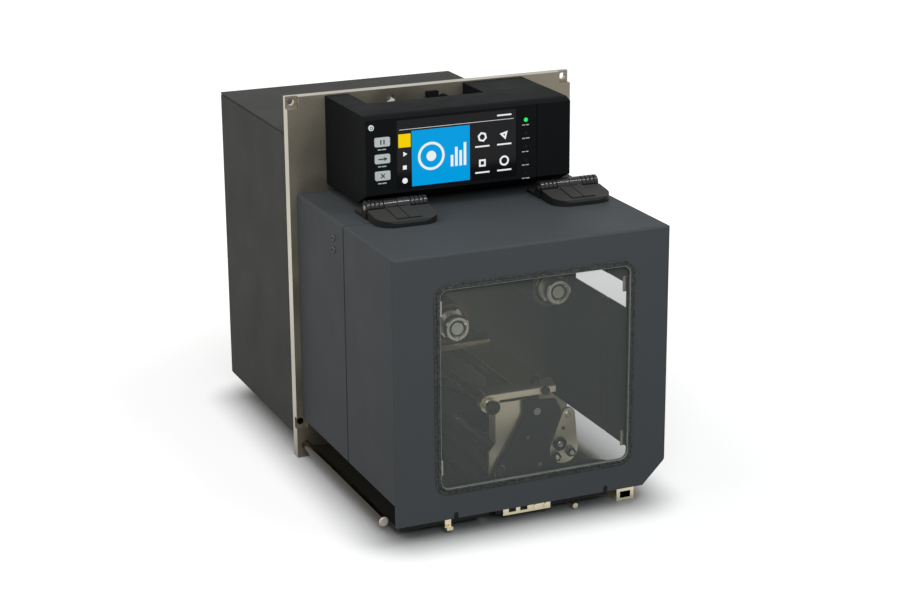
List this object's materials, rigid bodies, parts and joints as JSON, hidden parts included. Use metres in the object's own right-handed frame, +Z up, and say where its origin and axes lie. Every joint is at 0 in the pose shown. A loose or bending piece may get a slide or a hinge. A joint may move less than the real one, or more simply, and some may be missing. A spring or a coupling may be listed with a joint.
{
  "type": "label print engine",
  "caption": "Plate-mounted label print engine: electronics housing behind, lift-up windowed door in front over ribbon spindles and print mechanism, colour control panel on top.",
  "frame": {"origin": "middle of the object's footprint, at the mounting plate's lower edge", "axes": "+X to the right seen from the door, +Y from the door to the back, +Z up"},
  "size_m": [0.245, 0.379, 0.3],
  "materials": {
    "plate_nickel": "satin nickel",
    "cover_paint": "fine texture paint",
    "housing_paint": "fine texture paint",
    "bright_bracket": "bright nickel",
    "machined_steel": "turned",
    "rod_chrome": "polished",
    "hinge_black": "gloss",
    "trim_black": "grained",
    "pane_smoke": "smoked",
    "panel_black": "fine moulded",
    "screen_glass": "gloss",
    "light_lens": "clear lens",
    "key_grey": "satin",
    "mech_black": "black coat",
    "knob_black": "moulded",
    "roller_rubber": "ground",
    "belt_rubber": "moulded",
    "motor_body": "black coat",
    "head_aluminium": "mill",
    "port_metal": "plated",
    "board_green": "solder mask",
    "core_card": "card",
    "core_grey": "card"
  },
  "bodies": {
    "engine": {"mount_plate": "plate_nickel", "front_cover": "cover_paint", "rear_chassis": "housing_paint", "rear_cover": "housing_paint", "pinch_bracket": "bright_bracket", "front_brackets": "bright_bracket", "cover_screws": "machined_steel", "hinge_pins": "machined_steel", "spindle_bearings": "machined_steel", "tie_bars": "machined_steel", "peel_bar": "machined_steel", "fan_guard": "machined_steel", "guide_rod": "rod_chrome", "hinge_base_left": "hinge_black", "hinge_base_right": "hinge_black", "panel_bracket": "panel_black", "panel_housing": "panel_black", "panel_bezel": "panel_black", "panel_cable": "panel_black", "display_screen": "screen_glass", "status_lights": "light_lens", "mech_cheek": "mech_black", "front_tray": "mech_black", "power_inlet": "knob_black", "fan_frame": "knob_black", "drive_belt": "belt_rubber", "drive_motor": "motor_body", "ribbon_motor": "motor_body", "power_supply": "head_aluminium", "io_ports": "port_metal", "main_board": "board_green", "panel_board": "board_green"},
    "door": {"door_panel": "cover_paint", "window_trim": "trim_black", "window_pane": "pane_smoke", "pane_clips": "machined_steel", "hinge_leaf_left": "hinge_black", "hinge_leaf_right": "hinge_black"},
    "rocker": {"power_rocker": "knob_black"},
    "fan": {"fan_rotor": "knob_black"},
    "motor_drive": {"motor_pulley": "machined_steel"},
    "ribbon_drive": {"takeup_pinion": "machined_steel"},
    "power_key": {"power_button": "key_grey"},
    "pause_key": {"pause_button": "key_grey"},
    "feed_key": {"feed_button": "key_grey"},
    "cancel_key": {"cancel_button": "key_grey"},
    "platen": {"platen_roller": "roller_rubber"},
    "feed_shaft": {"feed_roller": "roller_rubber"},
    "pinch_shaft": {"pinch_roller": "roller_rubber"},
    "peel_shaft": {"peel_roller": "machined_steel"},
    "head": {"head_bracket": "bright_bracket", "printhead": "head_aluminium", "pressure_knobs": "knob_black"},
    "latch": {"head_latch": "bright_bracket", "latch_knobs": "knob_black"},
    "supply": {"supply_spindle": "machined_steel", "supply_core": "core_card"},
    "takeup": {"takeup_spindle": "machined_steel", "takeup_core": "core_grey"}
  },
  "joints": [
    {"name": "door_hinge", "type": "hinge", "parent": "engine", "child": "door", "pos_m": [0, -0.0775, 0.231], "axis": [-1, 0, 0], "range_deg": [0, 95]},
    {"name": "power_press", "type": "slide", "parent": "engine", "child": "power_key", "axis": [0, 1, 0], "range_m": [0, 0.0008], "stiffness_N_per_m": 600, "springref_m": -0.0006},
    {"name": "pause_press", "type": "slide", "parent": "engine", "child": "pause_key", "axis": [0, 1, 0], "range_m": [0, 0.0008], "stiffness_N_per_m": 600, "springref_m": -0.0006},
    {"name": "feed_press", "type": "slide", "parent": "engine", "child": "feed_key", "axis": [0, 1, 0], "range_m": [0, 0.0008], "stiffness_N_per_m": 600, "springref_m": -0.0006},
    {"name": "cancel_press", "type": "slide", "parent": "engine", "child": "cancel_key", "axis": [0, 1, 0], "range_m": [0, 0.0008], "stiffness_N_per_m": 600, "springref_m": -0.0006},
    {"name": "rocker_switch", "type": "hinge", "parent": "engine", "child": "rocker", "pos_m": [0.045, 0.1825, 0.1203], "axis": [-1, 0, 0], "range_deg": [0, 16]},
    {"name": "fan_spin", "type": "hinge", "parent": "engine", "child": "fan", "pos_m": [0.045, 0.0145, 0.215], "axis": [0, 1, 0], "continuous": true},
    {"name": "supply_spin", "type": "hinge", "parent": "engine", "child": "supply", "pos_m": [-0.0439, 0.0145, 0.1454], "axis": [0, 1, 0], "continuous": true},
    {"name": "takeup_spin", "type": "hinge", "parent": "engine", "child": "takeup", "pos_m": [0.0404, 0.0145, 0.1633], "axis": [0, 1, 0], "continuous": true},
    {"name": "ribbon_pinion_spin", "type": "hinge", "parent": "engine", "child": "ribbon_drive", "pos_m": [0.0539, 0.0145, 0.13992], "axis": [0, 1, 0], "continuous": true},
    {"name": "platen_spin", "type": "hinge", "parent": "engine", "child": "platen", "pos_m": [0.052, 0.0145, 0.0098], "axis": [0, 1, 0], "continuous": true},
    {"name": "motor_spin", "type": "hinge", "parent": "engine", "child": "motor_drive", "pos_m": [-0.034, 0.0145, 0.06], "axis": [0, 1, 0], "continuous": true},
    {"name": "feed_spin", "type": "hinge", "parent": "engine", "child": "feed_shaft", "pos_m": [-0.01, 0.0145, 0.0098], "axis": [0, 1, 0], "continuous": true},
    {"name": "pinch_spin", "type": "hinge", "parent": "engine", "child": "pinch_shaft", "pos_m": [-0.01, 0.0145, 0.0252], "axis": [0, 1, 0], "continuous": true},
    {"name": "peel_spin", "type": "hinge", "parent": "engine", "child": "peel_shaft", "pos_m": [0.0685, 0.0145, 0.0065], "axis": [0, 1, 0], "continuous": true},
    {"name": "head_lift", "type": "hinge", "parent": "engine", "child": "head", "pos_m": [-0.017, 0.0145, 0.08], "axis": [0, -1, 0], "range_deg": [0, 15]},
    {"name": "latch_swing", "type": "hinge", "parent": "engine", "child": "latch", "pos_m": [0.0389, 0.0145, 0.0421], "axis": [0, 1, 0], "range_deg": [0, 45]}
  ],
  "couplings": [
    {"joint": "ribbon_pinion_spin", "follows": "takeup_spin", "ratio": -2.8571},
    {"joint": "motor_spin", "follows": "platen_spin", "ratio": 1.1667},
    {"joint": "feed_spin", "follows": "platen_spin", "ratio": 1},
    {"joint": "pinch_spin", "follows": "platen_spin", "ratio": -1.1429},
    {"joint": "peel_spin", "follows": "platen_spin", "ratio": -1.6},
    {"joint": "latch_swing", "follows": "head_lift", "ratio": 3}
  ]
}
